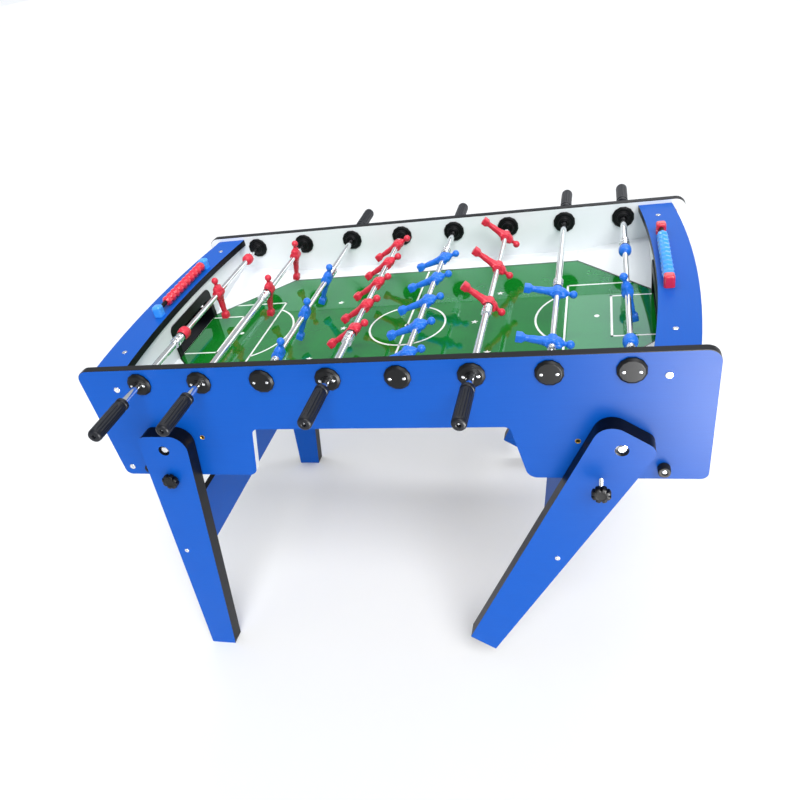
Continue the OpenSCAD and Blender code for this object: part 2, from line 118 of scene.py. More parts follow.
floor_finish, tree, shader = new_finish("studio_floor", "#f6f7f8", Roughness=0.7)
clouds = add(tree, "ShaderNodeTexNoise", {"Scale": 0.8, "Detail": 2.0}, {})
floor_tint = add(tree, "ShaderNodeMix", {"data_type": "RGBA", 6: rgb("#f3f4f5"), 7: rgb("#f9fafb")},
                 {0: clouds.outputs["Fac"]})
tree.links.new(floor_tint.outputs[2], shader.inputs["Base Color"])
floor_half = 60
floor_mesh = bpy.data.meshes.new("floor")
floor_corners = [(-floor_half, -floor_half, 0), (floor_half, -floor_half, 0),
                 (floor_half, floor_half, 0), (-floor_half, floor_half, 0)]
floor_mesh.from_pydata(floor_corners, [], [(0, 1, 2, 3)])
floor = bpy.data.objects.new("floor", floor_mesh)
floor.data.materials.append(floor_finish)
scene.collection.objects.link(floor)
floor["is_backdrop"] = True

world = bpy.data.worlds.new("studio")
world.use_nodes = True
sky = world.node_tree
direction = add(sky, "ShaderNodeTexCoord", {}, {})
height = add(sky, "ShaderNodeSeparateXYZ", {}, {0: direction.outputs["Generated"]})
rise = add(sky, "ShaderNodeMapRange", {"From Min": 0.05, "From Max": 0.5, "To Min": 1.0, "To Max": 0.5},
           {"Value": height.outputs["Z"]})
backdrop = sky.nodes["Background"]
backdrop.inputs["Color"].default_value = rgb("#f8fbff")
sky.links.new(rise.outputs["Result"], backdrop.inputs["Strength"])
scene.world = world


def panel_light(name, place, target, size, watts, gloss_only=False):
    """A rectangular light at place that faces target; gloss_only keeps it out of matt shading."""
    data = bpy.data.lights.new(name, "AREA")
    data.shape = "RECTANGLE"
    data.size, data.size_y = size
    data.energy = watts
    light = bpy.data.objects.new(name, data)
    light.location = place
    light.rotation_euler = (Vector(target) - Vector(place)).to_track_quat("-Z", "Y").to_euler()
    light.visible_camera = False
    light.visible_diffuse = not gloss_only
    scene.collection.objects.link(light)


panel_light("sheen", (1.25, -1.7, 0.3), (0.6, -0.4, 0.7), (1.1, 0.9), 100, gloss_only=True)
panel_light("low_sheen", (0.95, -1.15, 0.15), (0.45, -0.4, 0.35), (0.6, 0.3), 22, gloss_only=True)
panel_light("back_card", (0.8, 1.9, 1.75), (0.4, 0.0, 0.8), (1.1, 0.8), 3, gloss_only=True)
panel_light("strip", (0.0, 0.7, 2.7), (0, 0, 0.8), (2.6, 0.3), 22)
sun_data = bpy.data.lights.new("overhead", "SUN")
sun_data.energy = 2.7
sun_data.angle = math.radians(38)
sun_heading = Vector((-0.38, 0.62, -0.78))
sun = bpy.data.objects.new("overhead", sun_data)
sun.rotation_euler = sun_heading.to_track_quat("-Z", "Y").to_euler()
scene.collection.objects.link(sun)


# Side panels: 18 mm MDF faced with melamine, blue outside and white inside.
# The facing has a fine printed grain along the board; the long top edge carries a black band.
def grain(tree, shader, size, tones, gloss, depth):
    """Tints, gloss and fine relief from one noise; size is its real spacing in metres along X, Y, Z."""
    place = add(tree, "ShaderNodeTexCoord", {}, {})
    scaled = add(tree, "ShaderNodeVectorMath", {"operation": "DIVIDE", 1: size},
                 {0: place.outputs["Object"]})
    noise = add(tree, "ShaderNodeTexNoise", {"Scale": 1.0, "Detail": 3.0, "Roughness": 0.6},
                {"Vector": scaled.outputs["Vector"]})
    tint = add(tree, "ShaderNodeMix", {"data_type": "RGBA", 6: rgb(tones[0]), 7: rgb(tones[1])},
               {0: noise.outputs["Fac"]})
    shine = add(tree, "ShaderNodeMapRange", {"To Min": gloss[0], "To Max": gloss[1]},
                {"Value": noise.outputs["Fac"]})
    relief = add(tree, "ShaderNodeBump", {"Strength": 0.35, "Distance": depth},
                 {"Height": noise.outputs["Fac"]})
    tree.links.new(tint.outputs[2], shader.inputs["Base Color"])
    tree.links.new(shine.outputs["Result"], shader.inputs["Roughness"])
    tree.links.new(relief.outputs["Normal"], shader.inputs["Normal"])
    return tint.outputs[2]


def facing(tree, axis):
    """1 where the surface looks along an axis of the object, 0 on the board's edges."""
    square_on = 0.6
    place = add(tree, "ShaderNodeTexCoord", {}, {})
    dot = add(tree, "ShaderNodeVectorMath", {"operation": "DOT_PRODUCT", 1: axis},
              {0: place.outputs["Normal"]})
    return add(tree, "ShaderNodeMath", {"operation": "GREATER_THAN", 1: square_on},
               {0: dot.outputs["Value"]}).outputs["Value"]


def recolour(tree, shader, share, colour):
    """Lays another colour over the base colour where share is 1."""
    before = shader.inputs["Base Color"].links[0].from_socket
    over = add(tree, "ShaderNodeMix", {"data_type": "RGBA", 7: rgb(colour)}, {0: share, 6: before})
    tree.links.new(over.outputs[2], shader.inputs["Base Color"])


def blue_melamine(name, spacing):
    """Blue melamine whose grain has the given spacing along X, Y and Z; returns what new_finish does."""
    material, tree, shader = new_finish(name, "#0054b6", Roughness=0.4, Specular_IOR_Level=0.16)
    grain(tree, shader, spacing, ("#004fb0", "#0058ba"), (0.36, 0.46), 0.0001)
    return material, tree, shader


def melamine_board(name, outward):
    """Blue melamine on the outward face, white on the other and on the sawn edges."""
    material, tree, shader = blue_melamine(name, (0.09, 0.05, 0.0016))
    blue_side = facing(tree, outward)
    inside = add(tree, "ShaderNodeMath", {"operation": "SUBTRACT", 0: 1.0}, {1: blue_side})
    recolour(tree, shader, inside.outputs["Value"], "#e9edf0")
    return material


weld_gap = 0.00002


def eased(node, radius):
    """A bmesh copy of a CAD board, joined into whole faces, with its sharp edges rounded over."""
    flat_angle, sharp_angle = math.radians(0.4), math.radians(40)
    mesh = frame["nodes"][node].data.copy()
    if "custom_normal" in mesh.attributes:
        mesh.attributes.remove(mesh.attributes["custom_normal"])
    built = bmesh.new()
    built.from_mesh(mesh)
    bpy.data.meshes.remove(mesh)
    bmesh.ops.remove_doubles(built, verts=built.verts, dist=weld_gap)
    bmesh.ops.dissolve_limit(built, angle_limit=flat_angle, verts=built.verts, edges=built.edges)
    sharp = [e for e in built.edges if len(e.link_faces) == 2 and e.calc_face_angle() > sharp_angle]
    bmesh.ops.bevel(built, geom=sharp, offset=radius, segments=2, profile=0.5,
                    affect="EDGES", clamp_overlap=True)
    return built


def dress(mesh, finish, crease):
    """Gives a mesh one material and smooth shading, with sharp edges from the crease angle up."""
    mesh.materials.clear()
    mesh.materials.append(finish)
    mesh.polygons.foreach_set("use_smooth", [True] * len(mesh.polygons))
    mesh.polygons.foreach_set("material_index", [0] * len(mesh.polygons))
    mesh.set_sharp_from_angle(angle=math.radians(crease))


def shown(name, mesh, body, place=Matrix.Identity(4)):
    """Puts a finished mesh into the scene as a named piece that rides on a body."""
    obj = bpy.data.objects.new(name, mesh)
    scene.collection.objects.link(obj)
    obj.matrix_world = place
    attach(obj, body)
    return obj


def piece(name, built, finish, body, crease=35):
    """Makes a named piece out of a bmesh; it rides on a body and takes a material slot."""
    mesh = bpy.data.meshes.new(name)
    bmesh.ops.recalc_face_normals(built, faces=built.faces)
    built.to_mesh(mesh)
    built.free()
    dress(mesh, finish, crease)
    obj = shown(name, mesh, body)
    even = obj.modifiers.new("even_shading", "WEIGHTED_NORMAL")
    even.keep_sharp = True
    return obj


for side, outward in (("near", (0, -1, 0)), ("far", (0, 1, 0))):
    board = piece(f"{side}_side_panel", eased(f"{side}_panel", 0.0008),
                  melamine_board(f"{side}_blue_melamine", outward), "cabinet")
    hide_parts(f"{side}_panel")

# Edge bands: black ABS tape, 1.5 mm thick, glued round the top edge and the upper corners.
# Its edges are trimmed with a small radius, which catches the light as a thin line.
edge_tape, tree, shader = new_finish("black_edge_tape", "#05060c",
                                     Roughness=0.42, Specular_IOR_Level=0.22)
grain(tree, shader, (0.03, 0.0012, 0.03), ("#04050a", "#080a12"), (0.36, 0.5), 0.00005)
bands = frame["nodes"]["panel_edge_bands"]
bands.data.materials.clear()
bands.data.materials.append(edge_tape)

# End walls and ball ramps: white melamine boards; the ramps are thin wedges that roll the ball back.
# They are plain and smooth, with a very faint orange-peel texture.
white_melamine, tree, shader = new_finish("white_melamine", "#e9edf0", Roughness=0.35)
grain(tree, shader, (0.004, 0.004, 0.004), ("#e4e9ed", "#eff2f4"), (0.28, 0.42), 0.00006)
for node in ("end_walls", "ball_ramps"):
    boards = piece(f"white_{node}", eased(node, 0.0006), white_melamine, "cabinet")
    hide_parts(node)

# Battens: sawn softwood glued under the playfield and under the end boards.
# Its growth rings run along the length, and the saw leaves it matt.
softwood, tree, shader = new_finish("sawn_softwood", "#c9a26b", Roughness=0.75)
grain(tree, shader, (0.12, 0.12, 0.0025), ("#b98c55", "#d9b883"), (0.65, 0.85), 0.0003)
battens = piece("battens", eased("support_battens", 0.0006), softwood, "cabinet")
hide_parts("support_battens")


# End boards: bowed boards across both ends, blue melamine on top with a black band on the edges.
def banded_board(name, flat, across):
    """Blue melamine on the flat faces and black tape on the edges, with a pale line where they meet: partly
    the light core of the trimmed edge, partly a painted highlight.
    """
    face_limit, tape_limit = 0.93, 0.55
    material, tree, shader = blue_melamine(name, across)
    place = add(tree, "ShaderNodeTexCoord", {}, {})
    dot = add(tree, "ShaderNodeVectorMath", {"operation": "DOT_PRODUCT", 1: flat},
              {0: place.outputs["Normal"]})
    size = add(tree, "ShaderNodeMath", {"operation": "ABSOLUTE"}, {0: dot.outputs["Value"]})
    # The rounded edge between face and tape is painted pale: partly the light core of the trimmed edge,
    # partly a painted highlight.
    corner = add(tree, "ShaderNodeMath", {"operation": "LESS_THAN", 1: face_limit},
                 {0: size.outputs["Value"]})
    recolour(tree, shader, corner.outputs["Value"], "#7fa6dc")
    edge = add(tree, "ShaderNodeMath", {"operation": "LESS_THAN", 1: tape_limit},
               {0: size.outputs["Value"]})
    recolour(tree, shader, edge.outputs["Value"], "#04050c")
    return material


ends = piece("end_board_pair", eased("end_boards", 0.0008),
             banded_board("blue_end_board", (0, 0, 1), (0.0016, 0.09, 0.05)), "cabinet")
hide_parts("end_boards")

# Playfield: hardboard printed green under a thick clear lacquer, so it mirrors the men and the walls.
# The print has faint darker and lighter patches; the underside is bare brown hardboard.
pitch_green, tree, shader = new_finish("lacquered_pitch", "#0d7420", Roughness=0.05, IOR=2.1,
                                       Specular_Tint=rgb("#b4e8ee"))
grain(tree, shader, (0.05, 0.05, 0.05), ("#0a6c1a", "#127a26"), (0.03, 0.07), 0.00002)
below = facing(tree, (0, 0, -1))
recolour(tree, shader, below, "#7d5a3c")
lacquer = shader.inputs["Roughness"].links[0].from_socket
hardboard_roughness = 0.7
bare = add(tree, "ShaderNodeMath", {"operation": "MULTIPLY", 1: hardboard_roughness}, {0: below})
gloss = add(tree, "ShaderNodeMath", {"operation": "ADD"}, {0: lacquer, 1: bare.outputs["Value"]})
tree.links.new(gloss.outputs["Value"], shader.inputs["Roughness"])
field = piece("pitch", eased("playfield", 0.0005), pitch_green, "cabinet")
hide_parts("playfield")

# Pitch markings: white and black print, modelled as a film 0.25 mm thick so that its edges stay crisp.
# Half line, centre circle, penalty and goal boxes, arcs, spots, stars and the dark line round the edge.
field_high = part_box("playfield")[1]
film_thickness = 0.00025
film_bottom, film_top = field_high.z, field_high.z + film_thickness
line_half = 0.0025


def film(built, outline):
    """A thin flat solid on the pitch over a closed outline of X and Y points."""
    low = [built.verts.new((x, y, film_bottom)) for x, y in outline]
    high = [built.verts.new((x, y, film_top)) for x, y in outline]
    built.faces.new(high)
    built.faces.new(low[::-1])
    for i in range(len(outline)):
        j = (i + 1) % len(outline)
        built.faces.new((low[i], low[j], high[j], high[i]))


def straight(built, x0, y0, x1, y1):
    """A straight line, square at its ends."""
    along = Vector((x1 - x0, y1 - y0)).normalized() * line_half
    side = Vector((-along.y, along.x))
    a, b = Vector((x0, y0)) - along, Vector((x1, y1)) + along
    film(built, [a + side, a - side, b - side, b + side])


def curved(built, centre_x, radius, start, end, steps):
    """Part of a ring round a point on the long axis, as short joined pieces."""
    angles = [math.radians(start + (end - start) * i / steps) for i in range(steps + 1)]
    inner, outer = radius - line_half, radius + line_half
    for a, b in zip(angles, angles[1:]):
        film(built, [(centre_x + r * math.cos(t), r * math.sin(t))
                     for r, t in ((inner, a), (outer, a), (outer, b), (inner, b))])


def spot(built, x, y, radius):
    """A round spot."""
    film(built, [(x + radius * math.cos(t), y + radius * math.sin(t))
                 for t in (2 * math.pi * i / 20 for i in range(20))])


def star(built, x, y, radius):
    """A five-pointed star with one point towards +Y."""
    valley = radius * 0.42
    points = [(radius if i % 2 == 0 else valley, math.pi / 2 + i * math.pi / 5) for i in range(10)]
    film(built, [(x + r * math.cos(t), y + r * math.sin(t)) for r, t in points])


field_half, field_corner, field_end = 0.308, 0.407, 0.118
wall = field_high.x
wall_gap = 0.006
centre_radius = 0.096
penalty_x, penalty_y = 0.387, 0.163
goal_x, goal_y = 0.491, 0.095
arc_centre, arc_radius = 0.458, 0.141
kick_off_r, penalty_spot_r, star_r = 0.007, 0.006, 0.0095
star_places = ((0.218, 0.144), (0.218, -0.144), (0.17, 0))
white_lines = bmesh.new()
straight(white_lines, 0, -field_half, 0, field_half)
curved(white_lines, 0, centre_radius, 0, 360, 96)
spot(white_lines, 0, 0, kick_off_r)
arc_reach = math.degrees(math.acos((arc_centre - penalty_x) / arc_radius))
for end in (-1, 1):
    for box_x, box_y in ((penalty_x, penalty_y), (goal_x, goal_y)):
        straight(white_lines, end * box_x, -box_y, end * box_x, box_y)
        for y in (-box_y, box_y):
            straight(white_lines, end * box_x, y, end * (wall - wall_gap), y)
    middle = 180 if end > 0 else 0
    curved(white_lines, end * arc_centre, arc_radius, middle - arc_reach, middle + arc_reach, 32)
    spot(white_lines, end * arc_centre, 0, penalty_spot_r)
    for x, y in star_places:
        star(white_lines, end * x, y, star_r)
white_print, tree, shader = new_finish("white_print", "#f4f7f4", Roughness=0.22,
                                       Coat_Weight=1.0, Coat_Roughness=0.03)
grain(tree, shader, (0.01, 0.01, 0.01), ("#eef3ee", "#fbfdfb"), (0.18, 0.26), 0.00003)
piece("white_pitch_lines", white_lines, white_print, "cabinet")

dark_line = bmesh.new()
rim = [(field_corner, field_half - 0.002), (wall - 0.002, field_end - 0.001)]
for end in (-1, 1):
    for side in (-1, 1):
        (x0, y0), (x1, y1) = rim
        straight(dark_line, end * x0, side * y0, end * x1, side * y1)
        straight(dark_line, 0, side * y0, end * x0, side * y0)
dark_print, tree, shader = new_finish("dark_print", "#12331c", Roughness=0.25,
                                      Coat_Weight=1.0, Coat_Roughness=0.03)
grain(tree, shader, (0.01, 0.01, 0.01), ("#0f2b18", "#163c22"), (0.2, 0.3), 0.00003)
piece("dark_pitch_border", dark_line, dark_print, "cabinet")

# Goals: black ABS mouldings with a front plate, a mouth and a ball box behind the end wall.
# Moulded with a fine spark-eroded texture; the ball box is as dark as the plate.
black_abs, tree, shader = new_finish("black_abs", "#060709", Roughness=0.42, Specular_IOR_Level=0.22)
grain(tree, shader, (0.0015, 0.0015, 0.0015), ("#040507", "#090a0d"), (0.32, 0.5), 0.00012)
goal_pair = piece("goal_mouldings", eased("goals", 0.0007), black_abs, "cabinet")
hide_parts("goals")


# Bearings: ABS bushes in two halves that clamp the panel, with a twelve-sided flange on each side.
# The rod passes through the open ones; the blind ones close the hole and hold the guide pin.
def turned(profile, sides):
    """Turns (radius, y) points about the Y axis; a point at radius 0 closes the end, else it is a ring."""
    built = bmesh.new()
    rings = []
    for radius, y in profile:
        if radius == 0:
            rings.append([built.verts.new((0, y, 0))] * sides)
        else:
            angles = [2 * math.pi * (i + 0.5) / sides for i in range(sides)]
            rings.append([built.verts.new((radius * math.sin(a), y, radius * math.cos(a))) for a in angles])
    closed = profile[0][0] > 0 and profile[-1][0] > 0
    pairs = list(zip(rings, rings[1:])) + ([(rings[-1], rings[0])] if closed else [])
    for low, high in pairs:
        for i in range(sides):
            j = (i + 1) % sides
            corners = list(dict.fromkeys((low[i], low[j], high[j], high[i])))
            if len(corners) > 2:
                built.faces.new(corners)
    return built


def softened(points, radius, steps=3):
    """Rounds the inner corners of an open line of (radius, y) points."""
    line = [Vector(p) for p in points]
    made = [line[0]]
    for a, b, c in zip(line, line[1:], line[2:]):
        reach = min(radius, (a - b).length * 0.45, (c - b).length * 0.45)
        start, end = b + (a - b).normalized() * reach, b + (c - b).normalized() * reach
        for i in range(steps + 1):
            t = i / steps
            made.append(start * (1 - t) ** 2 + b * 2 * t * (1 - t) + end * t ** 2)
    made.append(line[-1])
    return [(p.x, p.y) for p in made]


def lathed(points, radius, steps, sides):
    """Turns a line of (radius, y) points whose corners are rounded first."""
    return turned(softened(points, radius, steps), sides)


def placed(built, matrix):
    """Moves a bmesh and hands it back."""
    bmesh.ops.transform(built, matrix=matrix, verts=built.verts)
    return built


def merged(*parts):
    """Puts several bmeshes into the first one."""
    for part in parts[1:]:
        mesh = bpy.data.meshes.new("part")
        part.to_mesh(mesh)
        part.free()
        parts[0].from_mesh(mesh)
        bpy.data.meshes.remove(mesh)
    return parts[0]


def side_turn(way):
    """Turns what is made for the near side, towards -Y, to the far side where way is 1."""
    return Matrix.Rotation(math.pi, 4, "Z") if way > 0 else Matrix.Identity(4)


def on_axis(low, high, way):
    """Where a part made along Y about the origin goes: the axis of a box, on the side that way names."""
    return Matrix.Translation(((low.x + high.x) / 2, 0, (low.z + high.z) / 2)) @ side_turn(way)


axles = {}
for joint in frame["joints"]:
    if joint["name"].endswith("_turn"):
        axles[int(joint["name"].split("_")[1])] = Vector(joint["pos_m"])
handle_side = {k: 1 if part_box(f"grip_{k}")[0].y > 0 else -1 for k in axles}
outer = -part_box("near_panel")[0].y
inner = -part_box("near_panel")[1].y
flange_flat_r, flange_t, inner_t = 0.0275, 0.008, 0.006
corner_share = math.cos(math.radians(15))
flange_r = flange_flat_r / corner_share
rod_bore, pin_bore = 0.00825, 0.0042


def bush(bore):
    """One bearing along Y, its outer flange towards -Y, its boss inside; bore 0 makes it blind."""
    low, high = -outer - flange_t, -inner + 0.014
    seat = -inner + inner_t
    dish_r, mouth = flange_r - 0.005, max(bore, pin_bore)
    edge = bore / corner_share
    hollow = [(edge, low + 0.001), (0.011, low + 0.001), (0.0125, low)] if bore else [(0, low)]
    outside = hollow + [(dish_r, low), (flange_r, low + 0.004), (flange_r, -outer), (edge, -outer)]
    inside = [(edge, -inner), (flange_r, -inner), (flange_r, -inner + 0.004),
              (flange_r - 0.004, seat), (edge, seat)]
    neck = [(bore, seat - 0.001), (0.019, seat - 0.001), (0.018, seat + 0.0025), (0.0155, seat + 0.003),
            (0.015, high - 0.001), (0.0135, high), (mouth + 0.001, high), (mouth, high - 0.002)]
    if not bore:
        neck += [(mouth, high - 0.006), (0, high - 0.006)]
    sleeve = [(bore, -outer - 0.0005), (0.0135, -outer - 0.0005), (0.0135, -inner + 0.0005),
              (bore, -inner + 0.0005)]
    parts = [lathed(outside, 0.0008, 2, 12), lathed(inside, 0.0008, 2, 12), lathed(neck, 0.0008, 2, 48),
             turned(sleeve, 48)]
    if bore:
        collar = [(bore, low - 0.0004), (bore + 0.002, low - 0.0004), (bore + 0.003, low + 0.0012),
                  (bore, low + 0.0012)]
        parts.append(turned(collar, 48))
    return merged(*parts)


for k, axle in axles.items():
    for way, bore, kind in ((handle_side[k], rod_bore, "open"), (-handle_side[k], 0, "blind")):
        place = Matrix.Translation(axle) @ side_turn(way)
        bearing = piece(f"{kind}_bearing_{k}", placed(bush(bore), place), black_abs, "cabinet",
                        crease=22)
        if k == 1:
            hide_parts(f"{kind}_bearings")

# Rods: seamless steel tube, chrome plated, with a pressed double stop ring and a ferrule at the far end.
# Chrome is nearly a mirror, with a faint haze and the odd fine scratch from the bearings.
chrome, tree, shader = new_finish("bright_chrome", "#dfe2e6", Metallic=1.0, Roughness=0.09)
grain(tree, shader, (0.002, 0.05, 0.002), ("#e6e9ec", "#fafbfc"), (0.05, 0.13), 0.00001)


def islands(node):
    """The lowest and highest corner of every separate solid in a CAD node."""
    built = bmesh.new()
    built.from_mesh(frame["nodes"][node].data)
    bmesh.ops.remove_doubles(built, verts=built.verts, dist=weld_gap)
    left, boxes = set(built.verts), []
    while left:
        stack, group = [left.pop()], []
        while stack:
            vert = stack.pop()
            group.append(vert.co.copy())
            for edge in vert.link_edges:
                near = edge.other_vert(vert)
                if near in left:
                    left.discard(near)
                    stack.append(near)
        boxes.append((Vector(map(min, zip(*group))), Vector(map(max, zip(*group)))))
    built.free()
    return sorted(boxes, key=lambda b: tuple(b[0]))


rubber, tree, shader = new_finish("black_rubber", "#101114", Roughness=0.65, Specular_IOR_Level=0.35)
grain(tree, shader, (0.0012, 0.0012, 0.0012), ("#0c0d0f", "#17181c"), (0.58, 0.75), 0.0002)
stop_reach, ring_half, ring_r, groove_r, sleeve_r = 0.045, 0.010, 0.012, 0.0100, 0.0112
thick, thin, tip, hole, pin_r = 0.008, 0.0065, 0.0085, 0.0043, 0.004
for k, axle in axles.items():
    way, body = handle_side[k], f"player_rod_{k}"
    at_axle = Matrix.Translation((axle.x, 0, axle.z)) @ side_turn(way)
    low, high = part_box(f"rod_{k}")
    start, end = (-high.y, -low.y) if way > 0 else (low.y, high.y)
    middles = [-way * (a.y + b.y) / 2 for a, b in islands(f"men_{k}")]
    stop = min(middles) - stop_reach
    tube = [(0, start), (thick, start), (thick, stop), (thin, stop), (thin, end - 0.013),
            (thin, end - 0.001), (hole, end - 0.001), (hole, start + 0.005), (0, start + 0.005)]
    rod = piece(f"rod_tube_{k}", placed(lathed(tube, 0.0005, 2, 40), at_axle), chrome, body)
    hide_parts(f"rod_{k}")
    ring = [(0.006, stop - ring_half), (ring_r, stop - ring_half), (ring_r, stop - 0.002),
            (groove_r, stop - 0.0015), (groove_r, stop + 0.0015), (ring_r, stop + 0.002),
            (ring_r, stop + ring_half), (sleeve_r - 0.001, stop + ring_half),
            (sleeve_r - 0.001, stop + 0.0165), (sleeve_r, stop + 0.017),
            (sleeve_r, stop + 0.0255), (0.006, stop + 0.0255)]
    piece(f"stop_ring_{k}", placed(lathed(ring, 0.0012, 3, 40), at_axle), chrome, body)
    bumper = [(0.006, stop + 0.0257), (0.0118, stop + 0.0257), (0.0118, stop + 0.0292),
              (0.006, stop + 0.0292)]
    piece(f"bumper_{k}", placed(lathed(bumper, 0.0008, 2, 40), at_axle), rubber, body)
    notch = tip - 0.0007
    ferrule = [(hole + 0.0006, end), (tip, end), (tip, end - 0.005), (notch, end - 0.0056),
               (notch, end - 0.0078), (tip, end - 0.0084), (tip, end - 0.014),
               (thin - 0.0003, end - 0.014)]
    piece(f"ferrule_{k}", placed(lathed(ferrule, 0.0006, 2, 40), at_axle), chrome, body)
    pin_low, pin_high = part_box(f"guide_pin_{k}")
    pin = [(0, pin_low.y), (pin_r, pin_low.y), (pin_r, pin_high.y), (0, pin_high.y)]
    guide = piece(f"pin_{k}", placed(lathed(pin, 0.0006, 2, 32), Matrix.Translation((axle.x, 0, axle.z))),
                  chrome, f"pin_{k}")
    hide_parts(f"guide_pin_{k}")

# Men: one moulding in glossy polypropylene, slid on the rod. Ball head, sloping shoulders, chest round
# the rod, straight legs together and a block of a boot. Both teams come out of the same mould.
red_plastic, tree, shader = new_finish("red_polypropylene", "#d2243c", Roughness=0.28)
grain(tree, shader, (0.02, 0.02, 0.02), ("#cc1f37", "#da2d45"), (0.22, 0.36), 0.0001)
blue_plastic, tree, shader = new_finish("blue_polypropylene", "#1b6fdd", Roughness=0.28)
grain(tree, shader, (0.02, 0.02, 0.02), ("#1666d2", "#217ae8"), (0.22, 0.36), 0.0001)


def lofted(sections, sides, power):
    """A closed skin through level sections (height, half depth X, half width Y), square as power grows."""
    built = bmesh.new()
    rings = []
    for z, half_x, half_y in sections:
        ring = []
        for i in range(sides):
            a = 2 * math.pi * i / sides
            c, s = math.cos(a), math.sin(a)
            x = half_x * math.copysign(abs(c) ** (2 / power), c)
            y = half_y * math.copysign(abs(s) ** (2 / power), s)
            ring.append(built.verts.new((x, y, z)))
        rings.append(ring)
    for low, high in zip(rings, rings[1:]):
        for i in range(sides):
            j = (i + 1) % sides
            built.faces.new((low[i], low[j], high[j], high[i]))
    built.faces.new(rings[0][::-1])
    built.faces.new(rings[-1])
    return built


def cut_by(obj, tool):
    """Cuts the shape of a bmesh out of an object, removes both and returns the finished mesh."""
    tool_mesh = bpy.data.meshes.new("tool")
    bmesh.ops.recalc_face_normals(tool, faces=tool.faces)
    tool.to_mesh(tool_mesh)
    tool.free()
    blade = bpy.data.objects.new("tool", tool_mesh)
    scene.collection.objects.link(blade)
    cut = obj.modifiers.new("cut", "BOOLEAN")
    cut.operation = "DIFFERENCE"
    cut.solver = "EXACT"
    cut.use_self = True
    cut.object = blade
    made = bpy.data.meshes.new_from_object(obj.evaluated_get(bpy.context.evaluated_depsgraph_get()))
    bpy.data.objects.remove(obj)
    bpy.data.objects.remove(blade)
    return made


def cast(name, built, voxel, share):
    """Fuses overlapping bodies into one skin, as a moulding is, bores it for the rod, returns its mesh."""
    mesh = bpy.data.meshes.new(name)
    built.to_mesh(mesh)
    built.free()
    obj = bpy.data.objects.new(name, mesh)
    scene.collection.objects.link(obj)
    fuse = obj.modifiers.new("fuse", "REMESH")
    fuse.mode = "VOXEL"
    fuse.voxel_size = voxel
    ease = obj.modifiers.new("ease", "SMOOTH")
    ease.iterations = 2
    thin_out = obj.modifiers.new("thin_out", "DECIMATE")
    thin_out.ratio = share
    drill_r, drill_half = 0.006, 0.03
    drill = turned([(0, -drill_half), (drill_r, -drill_half), (drill_r, drill_half), (0, drill_half)], 40)
    made = cut_by(obj, drill)
    made.name = name
    return made


def millimetres(rows):
    """Rows of millimetres as rows of metres."""
    return [tuple(v / 1000 for v in row) for row in rows]


boot = lofted(millimetres([(-74, 8.4, 9.2), (-73.4, 9.0, 9.8), (-62, 9.0, 9.8), (-59, 7.8, 8.6),
                           (-56, 5.8, 6.4), (-52, 5.2, 5.6)]), 40, 7)
head = lofted(millimetres([(36 + 9 * math.sin(math.radians(a)), 9 * math.cos(math.radians(a)),
                            9 * math.cos(math.radians(a))) for a in range(-84, 90, 12)]), 32, 2)
trunk = lofted(millimetres([(-19, 7.6, 10.6), (-14, 9.4, 12.0), (-6, 10.6, 12.4), (4, 11.6, 13.2),
                            (11, 11.2, 14.6), (16, 9.6, 14.2), (20, 6.8, 10.0), (23.5, 4.6, 5.4),
                            (30, 4.0, 4.2)]), 32, 2.6)
limbs = []
leg_offset, arm_offset, arm_forward = 0.0034, 0.0128, 0.001
for side in (-1, 1):
    leg = lofted(millimetres([(-62, 5.2, 3.8), (-52, 5.4, 3.6), (-46, 5.8, 3.9), (-38, 6.8, 4.6),
                              (-30, 6.6, 4.9), (-22, 7.6, 5.6), (-12, 8.4, 6.2)]), 24, 2.2)
    arm = lofted(millimetres([(-15, 2.2, 2.0), (-13, 3.6, 2.8), (-4, 4.0, 3.1), (4, 4.4, 3.4),
                              (12, 5.2, 3.8), (17, 4.6, 3.4), (19.5, 2.6, 2.0)]), 20, 2)
    limbs += [placed(leg, Matrix.Translation((0, side * leg_offset, 0))),
              placed(arm, Matrix.Translation((arm_forward, side * arm_offset, 0)))]
hub = lathed(millimetres([(0, -15), (12, -15), (12, -12.4), (11.2, -12), (11.2, -9.6), (13, -9),
                          (13, 9), (11.2, 9.6), (11.2, 12), (12, 12.4), (12, 15), (0, 15)]), 0.0005, 2, 48)
man_mesh = cast("man", merged(boot, trunk, head, hub, *limbs), 0.00065, 0.3)
pad = lathed(millimetres([(0, -15), (10.5, -15), (15, -8), (15, 8), (10.5, 15), (0, 15)]), 0.005, 5, 48)
pad_mesh = cast("pad", pad, 0.0009, 0.35)
boot_reach, man_size, mould_crease = 0.06, 0.05, 50

for k, axle in axles.items():
    finish, slot = (red_plastic, "red_plastic") if handle_side[k] < 0 else (blue_plastic, "blue_plastic")
    coords = [v.co - axle for v in frame["nodes"][f"men_{k}"].data.vertices]
    feet = [Vector((c.x, 0, c.z)) for c in coords if math.hypot(c.x, c.z) > boot_reach]
    down = sum(feet, Vector()).normalized()
    turn = Matrix.Rotation(math.atan2(-down.x, -down.z), 4, "Y")
    standing = 0
    for i, (low, high) in enumerate(islands(f"men_{k}")):
        is_man = max(high.x - low.x, high.z - low.z) > man_size
        standing += is_man
        kind = f"man_{k}_{standing}" if is_man else f"pad_{k}_{i}"
        mesh = (man_mesh if is_man else pad_mesh).copy()
        dress(mesh, finish, mould_crease)
        place = Matrix.Translation((axle.x, (low.y + high.y) / 2, axle.z)) @ turn
        figure = shown(kind, mesh, f"player_rod_{k}", place)
        if i == 0:
            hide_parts(f"men_{k}")
